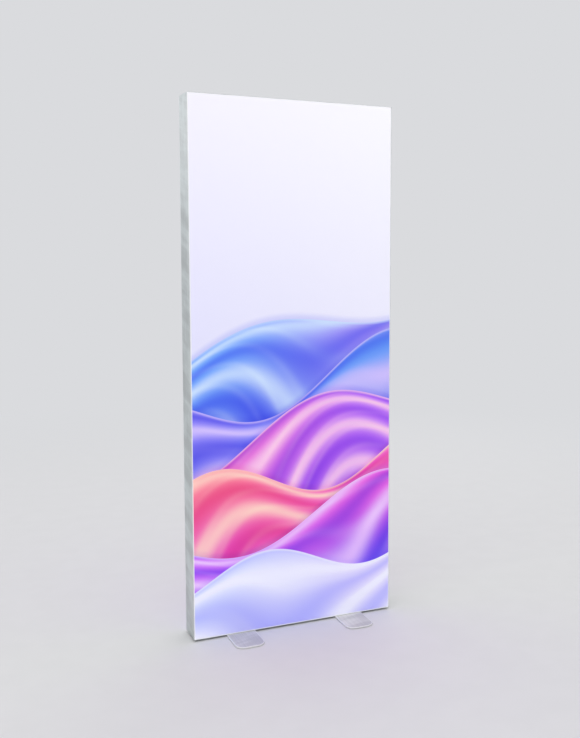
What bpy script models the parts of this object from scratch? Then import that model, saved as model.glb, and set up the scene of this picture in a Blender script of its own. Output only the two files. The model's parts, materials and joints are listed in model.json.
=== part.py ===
"""A free-standing illuminated display wall: an aluminium frame with a stretched print on each side.

Metres, +Z up. The origin is on the floor below the middle of the frame, the front print faces -Y,
and +X is to the right of someone who looks at the front print.

The four profiles share one section. It is drawn in the coordinates t and y: t is measured inwards
from the profile's outer face, and y runs from the front to the rear. A profile's length runs along s,
from one end of its outer face to the other.
"""

import math

import bmesh
import bpy
from mathutils import Matrix, Vector

mm = 0.001

# Overall sizes
frame_width = 800 * mm
frame_height = 2000 * mm
frame_depth = 120 * mm
# Gap between pieces that touch
touch_gap = 0.3 * mm
# Overlap of shapes that are joined, and overrun of cutters
overlap = 0.5 * mm
overrun = 5 * mm

# Print: fabric with a silicone bead along each edge
fabric_thickness = 0.6 * mm
skirt_depth = 13 * mm
bead_thickness = 3 * mm
bead_width = 12 * mm

# Profile section
outer_wall = 1.6 * mm
groove_depth = 15 * mm
groove_wall = 1.6 * mm
chamber_width = 16.4 * mm
chamber_wall = 1.6 * mm
web_wall = 1.6 * mm
slot_depth = 6.4 * mm
slot_width = 22 * mm
slot_opening = 11 * mm
slot_lip = 2 * mm
slot_wall = 1.6 * mm

# Corner connectors and their quarter-turn locks
connector_leg = 65 * mm
connector_edge = 9 * mm
lock_place = 41 * mm
lock_offset = 28 * mm
lock_shank_radius = 4 * mm
lock_head_radius = 8.5 * mm
lock_head_height = 2 * mm
lock_bar_length = 13 * mm
lock_bar_width = 5 * mm
lock_bar_height = 3 * mm
lock_bar_play = 1.5 * mm
lock_pocket_play = 0.7 * mm
lock_slot_width = 1.6 * mm
lock_slot_depth = 1 * mm

# Crossbar
crossbar_height = 1000 * mm
crossbar_depth = 40 * mm
crossbar_thickness = 20 * mm
crossbar_wall = 1.5 * mm
spigot_length = 40 * mm
bracket_base = 2 * mm
bracket_margin = 3 * mm
bracket_screw_radius = 2.5 * mm
bracket_screw_head_radius = 5 * mm
bracket_screw_head_height = 2.8 * mm
bracket_screw_depth = 12 * mm
bracket_screw_key = 1.5 * mm

# LED bars
led_bar_clearance = 22 * mm
carrier_base = 2 * mm
carrier_flange = 1.4 * mm
carrier_flange_height = 2.7 * mm
led_board_thickness = 1.6 * mm
led_board_width = 20.6 * mm
led_pitch = 56 * mm
led_size = 5 * mm
led_height = 0.8 * mm
lens_rail_width = 2 * mm
lens_rail_height = 2 * mm
lens_plate_thickness = 1.5 * mm
lens_radius = 7.5 * mm
lens_height = 7.2 * mm
lens_end_margin = 14 * mm
plug_length = 9 * mm
plug_width = 8 * mm
plug_height = 4 * mm

# Power supply on the right upright
supply_bottom = 212 * mm
supply_length = 200 * mm
supply_width = 45.4 * mm
supply_height = 28 * mm
supply_wall = 1.5 * mm
supply_cap = 3 * mm
supply_spigot = 6 * mm
gland_radius = 5 * mm
gland_height = 5 * mm
gland_offset = 10 * mm
clip_length = 20 * mm
clip_wall = 2 * mm
clip_hook = 3 * mm
clip_inset = 35 * mm
circuit_board_thickness = 1.6 * mm
circuit_board_margin = 2 * mm

# Leads
mains_lead_radius = 3.5 * mm
mains_lead_bend = 14 * mm
led_lead_radius = 1.6 * mm
led_lead_bend = 9.6 * mm

# Power inlet in the right upright
inlet_height = 135 * mm
inlet_body_width = 27.2 * mm
inlet_body_height = 54 * mm
inlet_body_depth = 24 * mm
inlet_flange_width = 37 * mm
inlet_flange_height = 73 * mm
inlet_flange_thickness = 2.5 * mm
inlet_flange_radius = 4 * mm
inlet_screw_pitch = 63 * mm
inlet_screw_radius = 1.5 * mm
inlet_screw_head_radius = 2.9 * mm
inlet_screw_length = 9 * mm
inlet_screw_key = 0.8 * mm
socket_centre = -3.5 * mm
socket_width = 24 * mm
socket_height = 17 * mm
socket_chamfer = 4 * mm
socket_depth = 17 * mm
blade_spacing = 7 * mm
blade_thickness = 2 * mm
blade_height = 4 * mm
blade_drop = 2 * mm
blade_setback = 3 * mm
contact_base = 4 * mm
contact_base_width = 20 * mm
contact_base_height = 13 * mm
contact_tab = 7 * mm
rocker_centre = 17.5 * mm
rocker_window_width = 21 * mm
rocker_window_height = 15 * mm
rocker_window_depth = 12 * mm
rocker_width = 20 * mm
rocker_half_height = 6.4 * mm
rocker_front = 5.5 * mm
rocker_dip = 1.6 * mm
rocker_back = 4 * mm
rocker_pin_radius = 1.2 * mm
rocker_pin_length = 1.6 * mm
rocker_pivot_depth = 3.5 * mm
rocker_tilt = math.radians(8)
drawer_centre = -19.5 * mm
drawer_width = 21.4 * mm
drawer_height = 7.4 * mm
drawer_depth = 17 * mm
drawer_lip_thickness = 1.5 * mm
drawer_lip_margin = 0.8 * mm
fuse_radius = 2.6 * mm
fuse_length = 20 * mm
fuse_cap_length = 5 * mm
fuse_step = 0.2 * mm

# Feet
foot_spacing = 440 * mm
foot_length = 400 * mm
foot_width = 110 * mm
foot_thickness = 5 * mm
foot_corner_radius = 34 * mm
foot_edge = 0.8 * mm
pad_thickness = 1.5 * mm
pad_radius = 15 * mm
pad_inset = 38 * mm
foot_bolt_radius = 5 * mm
foot_bolt_head_radius = 9.5 * mm
foot_bolt_head_height = 4 * mm
foot_bolt_end = 2 * mm
foot_bolt_key_radius = 3.4 * mm
foot_bolt_key_depth = 2.6 * mm
anchor_length = 60 * mm
anchor_width = 50 * mm
anchor_thickness = 6 * mm

# Sides of round pieces
round_sides = 24
small_round_sides = 16
lens_sides = 12
corner_steps = 8

# Places that follow from the sizes above
groove_width = 3 * touch_gap + fabric_thickness + bead_thickness
recess = fabric_thickness + touch_gap
half_depth = frame_depth / 2
groove_floor = half_depth - groove_depth
chamber_half = groove_floor - chamber_wall
chamber_inner = outer_wall + chamber_width
web_inner = chamber_inner + web_wall
slot_roof = web_inner + slot_depth
profile_width = slot_roof + slot_lip
slot_side = slot_width / 2 + slot_wall
print_edge = outer_wall + touch_gap
bead_edge = print_edge + fabric_thickness + touch_gap
tongue_low = web_inner + touch_gap
tongue_high = slot_roof - touch_gap
seat = profile_width + touch_gap
plate_low = pad_thickness + touch_gap
plate_high = plate_low + foot_thickness
frame_low = plate_high + touch_gap
frame_high = frame_low + frame_height
half_width = frame_width / 2
led_bar_length = frame_width - 2 * (profile_width + led_bar_clearance)

palette = {
    "frame_aluminium": ((0.62, 0.64, 0.65), 0.38, 0.9),
    "cast_zinc": ((0.45, 0.46, 0.47), 0.5, 0.9),
    "steel": ((0.60, 0.61, 0.62), 0.35, 1.0),
    "foot_steel": ((0.68, 0.69, 0.70), 0.4, 0.6),
    "fabric_print": ((0.80, 0.80, 0.95), 0.85, 0.0),
    "silicone": ((0.75, 0.75, 0.75), 0.6, 0.0),
    "led_board_white": ((0.85, 0.86, 0.84), 0.5, 0.0),
    "clear_lens": ((0.85, 0.88, 0.90), 0.12, 0.0),
    "supply_case_aluminium": ((0.55, 0.56, 0.57), 0.45, 0.9),
    "circuit_board_green": ((0.05, 0.22, 0.10), 0.5, 0.0),
    "black_plastic": ((0.03, 0.03, 0.035), 0.5, 0.0),
    "grey_nylon": ((0.35, 0.36, 0.37), 0.55, 0.0),
    "cable_black": ((0.02, 0.02, 0.02), 0.55, 0.0),
    "cable_white": ((0.80, 0.80, 0.78), 0.5, 0.0),
    "contact_nickel": ((0.66, 0.63, 0.55), 0.3, 1.0),
    "fuse_glass": ((0.70, 0.72, 0.72), 0.15, 0.2),
    "rubber": ((0.04, 0.04, 0.04), 0.85, 0.0),
}


def clear_scene():
    for old in list(bpy.data.objects):
        bpy.data.objects.remove(old, do_unlink=True)


def make_material(name):
    colour, roughness, metallic = palette[name]
    made = bpy.data.materials.new(name)
    made.use_nodes = True
    shader = made.node_tree.nodes["Principled BSDF"]
    shader.inputs["Base Color"].default_value = (*colour, 1)
    shader.inputs["Roughness"].default_value = roughness
    shader.inputs["Metallic"].default_value = metallic
    return made


def make_empty(name, location, rotation=(0, 0, 0)):
    empty = bpy.data.objects.new(name, None)
    empty.location = location
    empty.rotation_euler = rotation
    bpy.context.collection.objects.link(empty)
    return empty


def make_object(name, bm, material, parent=None, location=(0, 0, 0), rotation=(0, 0, 0), smooth=False):
    """Turns a bmesh into an object of its own, and frees the bmesh."""
    bmesh.ops.recalc_face_normals(bm, faces=bm.faces[:])
    mesh = bpy.data.meshes.new(name)
    bm.to_mesh(mesh)
    bm.free()
    if smooth:
        mesh.shade_smooth()
        mesh.set_sharp_from_angle(angle=math.radians(35))
    made = bpy.data.objects.new(name, mesh)
    made.parent = parent
    made.location = location
    made.rotation_euler = rotation
    if material:
        mesh.materials.append(bpy.data.materials[material])
    bpy.context.collection.objects.link(made)
    return made


def reshape(target, bm, operation):
    """Cuts a shape out of the target, or joins it on. The shape is drawn in the target's own frame."""
    helper_name = f"{operation.lower()}_for_{target.name}"
    helper = make_object(helper_name, bm, None, target.parent, target.location, target.rotation_euler)
    helper.hide_render = True
    helper.display_type = "WIRE"
    modifier = target.modifiers.new(operation.title(), "BOOLEAN")
    modifier.operation = operation
    modifier.solver = "EXACT"
    modifier.object = helper


def cut(target, bm):
    reshape(target, bm, "DIFFERENCE")


def join(target, bm):
    reshape(target, bm, "UNION")


def boxes(*corner_pairs):
    """Closed boxes, each given by two opposite corners."""
    bm = bmesh.new()
    for a, b in corner_pairs:
        made = bmesh.ops.create_cube(bm, size=1)["verts"]
        size = Vector(b) - Vector(a)
        middle = (Vector(a) + Vector(b)) / 2
        bmesh.ops.scale(bm, vec=[abs(length) for length in size], verts=made)
        bmesh.ops.translate(bm, vec=middle, verts=made)
    return bm


def prism(outline, low, high, holes=(), along="Z"):
    """A closed body: an outline with holes, run along one axis. The outline lies in the other two."""
    order = {"Z": (0, 1, 2), "Y": (0, 2, 1), "X": (1, 2, 0)}[along]

    def placed(a, b, c):
        point = Vector((0, 0, 0))
        for axis, value in zip(order, (a, b, c)):
            point[axis] = value
        return point

    bm = bmesh.new()
    edges = []
    for loop in (outline, *holes):
        corners = [bm.verts.new(placed(a, b, low)) for a, b in loop]
        edges += [bm.edges.new(pair) for pair in zip(corners, corners[1:] + corners[:1])]
    bmesh.ops.triangle_fill(bm, edges=edges, use_beauty=True)
    made = bmesh.ops.extrude_face_region(bm, geom=bm.faces[:])["geom"]
    moved = [part for part in made if isinstance(part, bmesh.types.BMVert)]
    bmesh.ops.translate(bm, vec=placed(0, 0, high - low), verts=moved)
    return bm


def stacked(layers):
    """A closed body through outlines of as many points each, given as (outline, height), lowest first."""
    bm = bmesh.new()
    rings = [[bm.verts.new((x, y, height)) for x, y in outline] for outline, height in layers]
    for lower, upper in zip(rings, rings[1:]):
        for i, corner in enumerate(lower):
            j = (i + 1) % len(lower)
            bm.faces.new((corner, lower[j], upper[j], upper[i]))
    bm.faces.new(rings[0])
    bm.faces.new(rings[-1])
    return bm


def turned(profile, sides, centre=(0, 0, 0), turn=None, bm=None):
    """A closed body turned about the Z axis from (radius, height) points, whose ends lie on the axis."""
    bm = bm or bmesh.new()
    place = Matrix.Translation(centre) @ (turn or Matrix.Identity(4))
    rings = []
    for radius, height in profile:
        count = sides if radius else 1
        angles = [2 * math.pi * i / sides for i in range(count)]
        points = [(radius * math.cos(a), radius * math.sin(a), height) for a in angles]
        rings.append([bm.verts.new(place @ Vector(point)) for point in points])
    for lower, upper in zip(rings, rings[1:]):
        for i in range(sides):
            j = (i + 1) % sides
            below = (lower[i % len(lower)], lower[j % len(lower)])
            above = (upper[j % len(upper)], upper[i % len(upper)])
            bm.faces.new(dict.fromkeys(below + above))
    return bm


def cylinder(radius, low, high, sides=round_sides, centre=(0, 0, 0), turn=None, bm=None):
    profile = [(0, low), (radius, low), (radius, high), (0, high)]
    return turned(profile, sides, centre, turn, bm)


def rectangle(half_x, half_y):
    return [(-half_x, -half_y), (half_x, -half_y), (half_x, half_y), (-half_x, half_y)]


def rounded_rectangle(half_x, half_y, radius, steps):
    points = []
    for corner, (sign_x, sign_y) in enumerate(((1, 1), (-1, 1), (-1, -1), (1, -1))):
        centre = (sign_x * (half_x - radius), sign_y * (half_y - radius))
        for step in range(steps + 1):
            angle = math.pi / 2 * (corner + step / steps)
            points.append((centre[0] + radius * math.cos(angle), centre[1] + radius * math.sin(angle)))
    return points


def regular_polygon(radius, sides):
    angles = [2 * math.pi * i / sides for i in range(sides)]
    return [(radius * math.cos(a), radius * math.sin(a)) for a in angles]


def mirrored(half_outline):
    """Adds the rear half of a section to its front half."""
    return half_outline + [(t, -y) for t, y in reversed(half_outline)]


along_x = Matrix.Rotation(math.pi / 2, 4, "Y")
along_y = Matrix.Rotation(-math.pi / 2, 4, "X")


def profile_outline():
    """The profile's outer outline. Its front half runs from the outer face round to the slot's floor."""
    groove_inner = outer_wall + groove_width
    return mirrored(
        [
            (0, -half_depth),
            (outer_wall, -half_depth),
            (outer_wall, -groove_floor),
            (groove_inner, -groove_floor),
            (groove_inner, recess - half_depth),
            (groove_inner + groove_wall, recess - half_depth),
            (groove_inner + groove_wall, -groove_floor),
            (web_inner, -groove_floor),
            (web_inner, -slot_side),
            (profile_width, -slot_side),
            (profile_width, -slot_opening / 2),
            (slot_roof, -slot_opening / 2),
            (slot_roof, -slot_width / 2),
            (web_inner, -slot_width / 2),
        ]
    )


def chamber_outline():
    return mirrored([(outer_wall, -chamber_half), (chamber_inner, -chamber_half)])


def profile(name, length, member):
    """A profile of this length, mitred at both ends."""
    bm = prism(profile_outline(), 0, length, holes=[chamber_outline()])
    half_gap = touch_gap / math.sqrt(2)
    for corner in bm.verts:
        mitre = corner.co.x + half_gap
        corner.co.z += mitre if corner.co.z < length / 2 else -mitre
    return make_object(name, bm, "frame_aluminium", member)


def make_members():
    """An empty for each profile, on the end of its outer face, with X as t, Y as y and Z as s."""
    quarter = math.pi / 2
    return {
        "left": make_empty("left_member", (-half_width, 0, frame_low)),
        "right": make_empty("right_member", (half_width, 0, frame_low), (0, 0, math.pi)),
        "top": make_empty("top_member", (-half_width, 0, frame_high), (0, quarter, 0)),
        "bottom": make_empty("bottom_member", (half_width, 0, frame_low), (0, -quarter, 0)),
    }


def lock_bores():
    """The round openings in a rail's web for the corner locks' shanks."""
    bm = bmesh.new()
    radius = lock_shank_radius + touch_gap
    for place in (lock_place, frame_width - lock_place):
        centre = (0, lock_offset, place)
        cylinder(radius, chamber_inner - overrun, web_inner + overrun, centre=centre, turn=along_x, bm=bm)
    return bm


def lock_slots():
    """The slots through those openings that the locks' bars pass."""
    half_length = lock_bar_length / 2 + touch_gap
    half_slot = lock_bar_width / 2 + touch_gap
    slots = []
    for place in (lock_place, frame_width - lock_place):
        low = (chamber_inner - overrun, lock_offset - half_slot, place - half_length)
        high = (web_inner + overrun, lock_offset + half_slot, place + half_length)
        slots.append((low, high))
    return boxes(*slots)


def foot_bolt_holes():
    """The holes in the bottom rail's outer wall for the foot bolts."""
    bm = bmesh.new()
    radius = foot_bolt_radius + touch_gap
    for side in (-1, 1):
        centre = (0, 0, half_width + side * foot_spacing / 2)
        cylinder(radius, -overrun, outer_wall + overrun, centre=centre, turn=along_x, bm=bm)
    return bm


def inlet_cut_out():
    """The opening through the right upright for the inlet, and its two screw holes."""
    half_y = inlet_body_width / 2 + touch_gap
    half_z = inlet_body_height / 2 + touch_gap
    low = (-overrun, -half_y, inlet_height - half_z)
    high = (profile_width + overrun, half_y, inlet_height + half_z)
    bm = boxes((low, high))
    radius = inlet_screw_radius + touch_gap
    for side in (-1, 1):
        centre = (0, 0, inlet_height + side * inlet_screw_pitch / 2)
        cylinder(radius, -overrun, outer_wall + overrun, small_round_sides, centre, along_x, bm)
    return bm


def make_frame(members):
    profile("upright_left", frame_height, members["left"])
    cut(profile("upright_right", frame_height, members["right"]), inlet_cut_out())
    top = profile("top_rail", frame_width, members["top"])
    bottom = profile("bottom_rail", frame_width, members["bottom"])
    for rail in (top, bottom):
        cut(rail, lock_bores())
        cut(rail, lock_slots())
    cut(bottom, foot_bolt_holes())


def connector_outline(side, rise):
    """The connector's L, from the outer corner: side and rise are the signs of its two legs' directions."""
    low = outer_wall + touch_gap
    high = chamber_inner - touch_gap
    points = [(low, low), (connector_leg, low), (connector_leg, high), (high, high)]
    points += [(high, connector_leg), (low, connector_leg)]
    return [(side * x, rise * z) for x, z in points]


def connector_windows(side, rise):
    """Lightening windows: one in each leg, clear of the corner and of the lock."""
    near = chamber_inner + connector_edge
    far = connector_leg - connector_edge
    wide = chamber_half - touch_gap - connector_edge
    lock_clear = lock_offset - lock_bar_length / 2 - lock_pocket_play - connector_edge
    across = profile_width + overrun
    return boxes(
        ((side * near, -wide, -across), (side * far, lock_clear, across)),
        ((-across, -wide, rise * near), (across, wide, rise * far)),
    )


def pocket_height():
    """How far the lock's pocket reaches from the rail's outer face: past its bar, with some play."""
    return outer_wall + touch_gap + lock_bar_height + 2 * lock_bar_play


def connector_pocket(side, rise):
    """The pocket at the rail's outer wall that the lock's bar turns in."""
    turn = Matrix.Rotation(0 if rise > 0 else math.pi, 4, "X")
    centre = (side * lock_place, lock_offset, 0)
    radius = lock_bar_length / 2 + lock_pocket_play
    return cylinder(radius, -overrun, pocket_height(), round_sides, centre, turn)


def connector_slot(side, rise):
    """The slot above the pocket, which the lock's bar passes on its way in."""
    half_length = lock_bar_length / 2 + touch_gap
    half_slot = lock_bar_width / 2 + touch_gap
    place = side * lock_place
    low = (place - half_length, lock_offset - half_slot, 0)
    high = (place + half_length, lock_offset + half_slot, rise * (chamber_inner + overrun))
    return boxes((low, high))


def connector_bore(side, rise):
    """The bore that the lock's shank turns in."""
    turn = Matrix.Rotation(0 if rise > 0 else math.pi, 4, "X")
    centre = (side * lock_place, lock_offset, 0)
    radius = lock_shank_radius + touch_gap
    return cylinder(radius, 0, chamber_inner + overrun, round_sides, centre, turn)


def make_corner(name, side, rise):
    """A connector and its lock. side is 1 where one leg runs to +X, and rise is 1 where the other runs up."""
    corner = (-side * half_width, 0, frame_low if rise > 0 else frame_high)
    half_y = chamber_half - touch_gap
    bm = prism(connector_outline(side, rise), -half_y, half_y, along="Y")
    connector = make_object(f"corner_connector_{name}", bm, "cast_zinc", location=corner)
    cut(connector, connector_windows(side, rise))
    cut(connector, connector_pocket(side, rise))
    cut(connector, connector_slot(side, rise))
    cut(connector, connector_bore(side, rise))
    make_lock(f"corner_lock_{name}", corner, side, rise)


def make_lock(name, corner, side, rise):
    """A quarter-turn lock, drawn from the rail's outer face inwards, with its bar across the slot."""
    bar_low = outer_wall + touch_gap + lock_bar_play
    head_low = web_inner + touch_gap
    head_high = head_low + lock_head_height
    shape = turned(
        [
            (0, bar_low + overlap),
            (lock_shank_radius, bar_low + overlap),
            (lock_shank_radius, head_low),
            (lock_head_radius, head_low),
            (lock_head_radius, head_high),
            (0, head_high),
        ],
        round_sides,
    )
    place = Vector(corner) + Vector((side * lock_place, lock_offset, 0))
    turn = (0 if rise > 0 else math.pi, 0, 0)
    lock = make_object(name, shape, "steel", location=place, rotation=turn, smooth=True)
    half_bar = lock_bar_width / 2
    half_length = lock_bar_length / 2
    bar = ((-half_bar, -half_length, bar_low), (half_bar, half_length, bar_low + lock_bar_height))
    join(lock, boxes(bar))
    reach = lock_head_radius + overrun
    slot_floor = head_high - lock_slot_depth
    half_slot = lock_slot_width / 2
    cut(lock, boxes(((-half_slot, -reach, slot_floor), (half_slot, reach, head_high + overrun))))


def make_corners():
    make_corner("bottom_left", 1, 1)
    make_corner("bottom_right", -1, 1)
    make_corner("top_left", 1, -1)
    make_corner("top_right", -1, -1)


def tongue_outline(base_half, base_top, extra=()):
    """A section that slides into the profile's slot, with a base on the slot's lips."""
    tongue_half = slot_width / 2 - touch_gap
    neck_half = slot_opening / 2 - touch_gap
    return mirrored(
        [
            (tongue_low, -tongue_half),
            (tongue_high, -tongue_half),
            (tongue_high, -neck_half),
            (seat, -neck_half),
            (seat, -base_half),
            *(extra or [(base_top, -base_half)]),
        ]
    )


def make_crossbar_end(name, member):
    """A bracket in the upright's slot, whose spigot carries the crossbar, and the screw that holds it."""
    base_top = seat + bracket_base
    half_height = crossbar_thickness / 2 + bracket_margin
    outline = tongue_outline(crossbar_depth / 2, base_top)
    bm = prism(outline, -half_height, half_height)
    bracket = make_object(f"crossbar_bracket_{name}", bm, "grey_nylon", member, (0, 0, crossbar_height))
    spigot_y = crossbar_depth / 2 - crossbar_wall - touch_gap
    spigot_z = crossbar_thickness / 2 - crossbar_wall - touch_gap
    spigot_end = base_top + spigot_length
    join(bracket, boxes(((base_top - overlap, -spigot_y, -spigot_z), (spigot_end, spigot_y, spigot_z))))
    screw_place = (base_top + spigot_length / 2, 0, 0)
    reach = crossbar_thickness / 2 + overrun
    cut(bracket, cylinder(bracket_screw_radius + touch_gap, -reach, reach, centre=screw_place))
    make_crossbar_screw(name, member, screw_place)


def make_crossbar_screw(name, member, place):
    """A button-head screw from below, with a hexagonal key recess."""
    head_top = -crossbar_thickness / 2 - touch_gap
    head_low = head_top - bracket_screw_head_height
    shape = turned(
        [
            (0, head_low),
            (bracket_screw_head_radius / 2, head_low),
            (bracket_screw_head_radius, head_top - bracket_screw_head_height / 3),
            (bracket_screw_head_radius, head_top),
            (bracket_screw_radius, head_top),
            (bracket_screw_radius, head_top + bracket_screw_depth),
            (0, head_top + bracket_screw_depth),
        ],
        round_sides,
    )
    location = (place[0], place[1], crossbar_height)
    screw = make_object(f"crossbar_screw_{name}", shape, "steel", member, location, smooth=True)
    key = regular_polygon(bracket_screw_key, 6)
    cut(screw, prism(key, head_low - overrun, head_low + bracket_screw_key))


def make_crossbar(members):
    half_length = half_width - seat - bracket_base - touch_gap
    outer = rectangle(crossbar_depth / 2, crossbar_thickness / 2)
    inner = rectangle(crossbar_depth / 2 - crossbar_wall, crossbar_thickness / 2 - crossbar_wall)
    bm = prism(outer, -half_length, half_length, holes=[inner], along="X")
    location = (0, 0, frame_low + crossbar_height)
    bar = make_object("crossbar", bm, "frame_aluminium", location=location)
    holes = bmesh.new()
    screw_x = half_width - seat - bracket_base - spigot_length / 2
    for side in (-1, 1):
        low = -crossbar_thickness / 2 - overrun
        cylinder(bracket_screw_radius + touch_gap, low, 0, centre=(side * screw_x, 0, 0), bm=holes)
    cut(bar, holes)
    make_crossbar_end("left", members["left"])
    make_crossbar_end("right", members["right"])


def led_places():
    """How far each LED lies from the middle of its bar."""
    count = round((led_bar_length - 2 * lens_end_margin) / led_pitch)
    return [led_pitch * (i - (count - 1) / 2) for i in range(count)]


def make_led_carrier(name, member):
    base_top = seat + carrier_base
    flange_top = base_top + carrier_flange_height
    inner = led_board_width / 2 + touch_gap
    outer = inner + carrier_flange
    flange = [(flange_top, -outer), (flange_top, -inner), (base_top, -inner)]
    outline = tongue_outline(outer, base_top, flange)
    bm = prism(outline, -led_bar_length / 2, led_bar_length / 2)
    make_object(f"led_carrier_{name}", bm, "frame_aluminium", member, (0, 0, half_width))


def make_led_board(name, member, plug_side):
    """A board with its LEDs, and a plug at the end that plug_side points to."""
    low = seat + carrier_base + touch_gap
    high = low + led_board_thickness
    half_length = led_bar_length / 2
    bm = boxes(((low, -led_board_width / 2, -half_length), (high, led_board_width / 2, half_length)))
    board = make_object(f"led_board_{name}", bm, "led_board_white", member, (0, 0, half_width))
    half_led = led_size / 2
    leds = [
        ((high - overlap, -half_led, place - half_led), (high + led_height, half_led, place + half_led))
        for place in led_places()
    ]
    plug_end = plug_side * half_length
    plug = (
        (high - overlap, -plug_width / 2, plug_end - plug_side * plug_length),
        (high + plug_height, plug_width / 2, plug_end - plug_side * overlap),
    )
    join(board, boxes(*leds, plug))


def make_lens_strip(name, member):
    """A clear strip on two rails, with a lens over each LED."""
    low = seat + carrier_base + 2 * touch_gap + led_board_thickness
    rail_top = low + lens_rail_height
    plate_top = rail_top + lens_plate_thickness
    outer = led_board_width / 2
    inner = outer - lens_rail_width
    outline = mirrored([(rail_top, -inner), (low, -inner), (low, -outer), (plate_top, -outer)])
    half_length = led_bar_length / 2 - lens_end_margin
    bm = prism(outline, -half_length, half_length)
    strip = make_object(f"led_lens_strip_{name}", bm, "clear_lens", member, (0, 0, half_width), smooth=True)
    lens_profile = [(0, -overlap), (lens_radius, -overlap)]
    lens_profile += [
        (lens_radius * math.cos(angle), lens_height * math.sin(angle))
        for angle in (math.radians(degrees) for degrees in (8, 32, 58))
    ]
    lens_profile.append((0, lens_height))
    lenses = bmesh.new()
    for place in led_places():
        turned(lens_profile, lens_sides, (plate_top, 0, place), along_x, lenses)
    join(strip, lenses)


def make_led_bars(members):
    for name, plug_side in (("top", 1), ("bottom", -1)):
        make_led_carrier(name, members[name])
        make_led_board(name, members[name], plug_side)
        make_lens_strip(name, members[name])


def supply_low():
    """How far from the upright's outer face the supply's case starts."""
    return seat + clip_wall + touch_gap


def make_supply_clip(name, member, place):
    """A spring clip: a tongue in the upright's slot, and two arms whose hooks hold the case."""
    base_top = seat + clip_wall
    inner = supply_width / 2 + touch_gap
    outer = inner + clip_wall
    hook_low = supply_low() + supply_height + touch_gap
    hook_top = hook_low + clip_wall
    arm = [
        (hook_top, -outer),
        (hook_top, clip_hook - inner),
        (hook_low, clip_hook - inner),
        (hook_low, -inner),
        (base_top, -inner),
    ]
    outline = tongue_outline(outer, base_top, arm)
    bm = prism(outline, -clip_length / 2, clip_length / 2)
    make_object(f"power_supply_clip_{name}", bm, "grey_nylon", member, (0, 0, place))


def make_supply_case(member):
    middle = supply_low() + supply_height / 2
    outer = [(middle + t, y) for t, y in rectangle(supply_height / 2, supply_width / 2)]
    half_t = supply_height / 2 - supply_wall
    half_y = supply_width / 2 - supply_wall
    inner = [(middle + t, y) for t, y in rectangle(half_t, half_y)]
    bm = prism(outer, 0, supply_length, holes=[inner])
    make_object("power_supply_case", bm, "supply_case_aluminium", member, (0, 0, supply_bottom))


def make_supply_cap(name, member, end, gland_sides):
    """An end cap that plugs into the case, with a gland for each lead. end is -1 below and 1 above."""
    middle = supply_low() + supply_height / 2
    half_t = supply_height / 2
    half_y = supply_width / 2
    place = supply_bottom + (supply_length if end > 0 else 0)
    plate = ((middle - half_t, -half_y, end * touch_gap), (middle + half_t, half_y, end * supply_cap))
    cap = make_object(f"power_supply_end_cap_{name}", boxes(plate), "black_plastic", member, (0, 0, place))
    inset = supply_wall + touch_gap
    inner = (middle - half_t + inset, inset - half_y, -end * supply_spigot)
    outer = (middle + half_t - inset, half_y - inset, end * (touch_gap + overlap))
    join(cap, boxes((inner, outer)))
    glands = bmesh.new()
    for side in gland_sides:
        centre = (middle, side * gland_offset, 0)
        ends = sorted((end * (supply_cap - overlap), end * (supply_cap + gland_height)))
        cylinder(gland_radius, *ends, sides=small_round_sides, centre=centre, bm=glands)
    join(cap, glands)


def make_supply_board(member):
    """The circuit board, with a transformer, two capacitors and a heat sink."""
    low = supply_low() + supply_wall + touch_gap
    high = low + circuit_board_thickness
    start = supply_spigot + circuit_board_margin
    end = supply_length - start
    half_y = supply_width / 2 - supply_wall - touch_gap
    board = boxes(((low, -half_y, start), (high, half_y, end)))
    made = make_object("power_supply_board", board, "circuit_board_green", member, (0, 0, supply_bottom))
    tall = supply_height - 2 * supply_wall - circuit_board_thickness - 2 * circuit_board_margin
    length = end - start
    block_shares = (
        # start and end along the board, then from side to side, then height
        (0.10, 0.30, -0.70, 0.20, 0.80),
        (0.42, 0.62, -0.80, 0.60, 1.00),
        (0.68, 0.72, -0.85, 0.85, 0.90),
    )
    blocks = [
        (
            (high - overlap, half_y * left, start + length * first),
            (high + tall * height, half_y * right, start + length * last),
        )
        for first, last, left, right, height in block_shares
    ]
    join(made, boxes(*blocks))
    can_shares = ((0.82, 0.45), (0.82, -0.45))
    can_radius_share = 0.36
    radius = half_y * can_radius_share
    cans = bmesh.new()
    for place, side in can_shares:
        centre = (high, half_y * side, start + length * place)
        cylinder(radius, -overlap, tall, small_round_sides, centre, along_x, cans)
    join(made, cans)


def make_power_supply(members):
    member = members["right"]
    make_supply_clip("lower", member, supply_bottom + clip_inset)
    make_supply_clip("upper", member, supply_bottom + supply_length - clip_inset)
    make_supply_case(member)
    make_supply_cap("lower", member, -1, (-1, 1))
    make_supply_cap("upper", member, 1, (-1,))
    make_supply_board(member)


def rounded_route(points, rounds=3):
    """Cuts the corners of a route, a few times over, and keeps its ends."""
    for _ in range(rounds):
        cut_points = [points[0]]
        for a, b in zip(points, points[1:]):
            a, b = Vector(a), Vector(b)
            cut_points += [a.lerp(b, 0.25), a.lerp(b, 0.75)]
        points = cut_points + [Vector(points[-1])]
    return points


def make_lead(name, route, radius, material):
    curve = bpy.data.curves.new(name, "CURVE")
    curve.dimensions = "3D"
    curve.bevel_depth = radius
    curve.bevel_resolution = 2
    curve.use_fill_caps = True
    line = rounded_route(route)
    spline = curve.splines.new("POLY")
    spline.points.add(len(line) - 1)
    for point, place in zip(spline.points, line):
        point.co = (*place, 1)
    curve.materials.append(bpy.data.materials[material])
    bpy.context.collection.objects.link(bpy.data.objects.new(name, curve))


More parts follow.
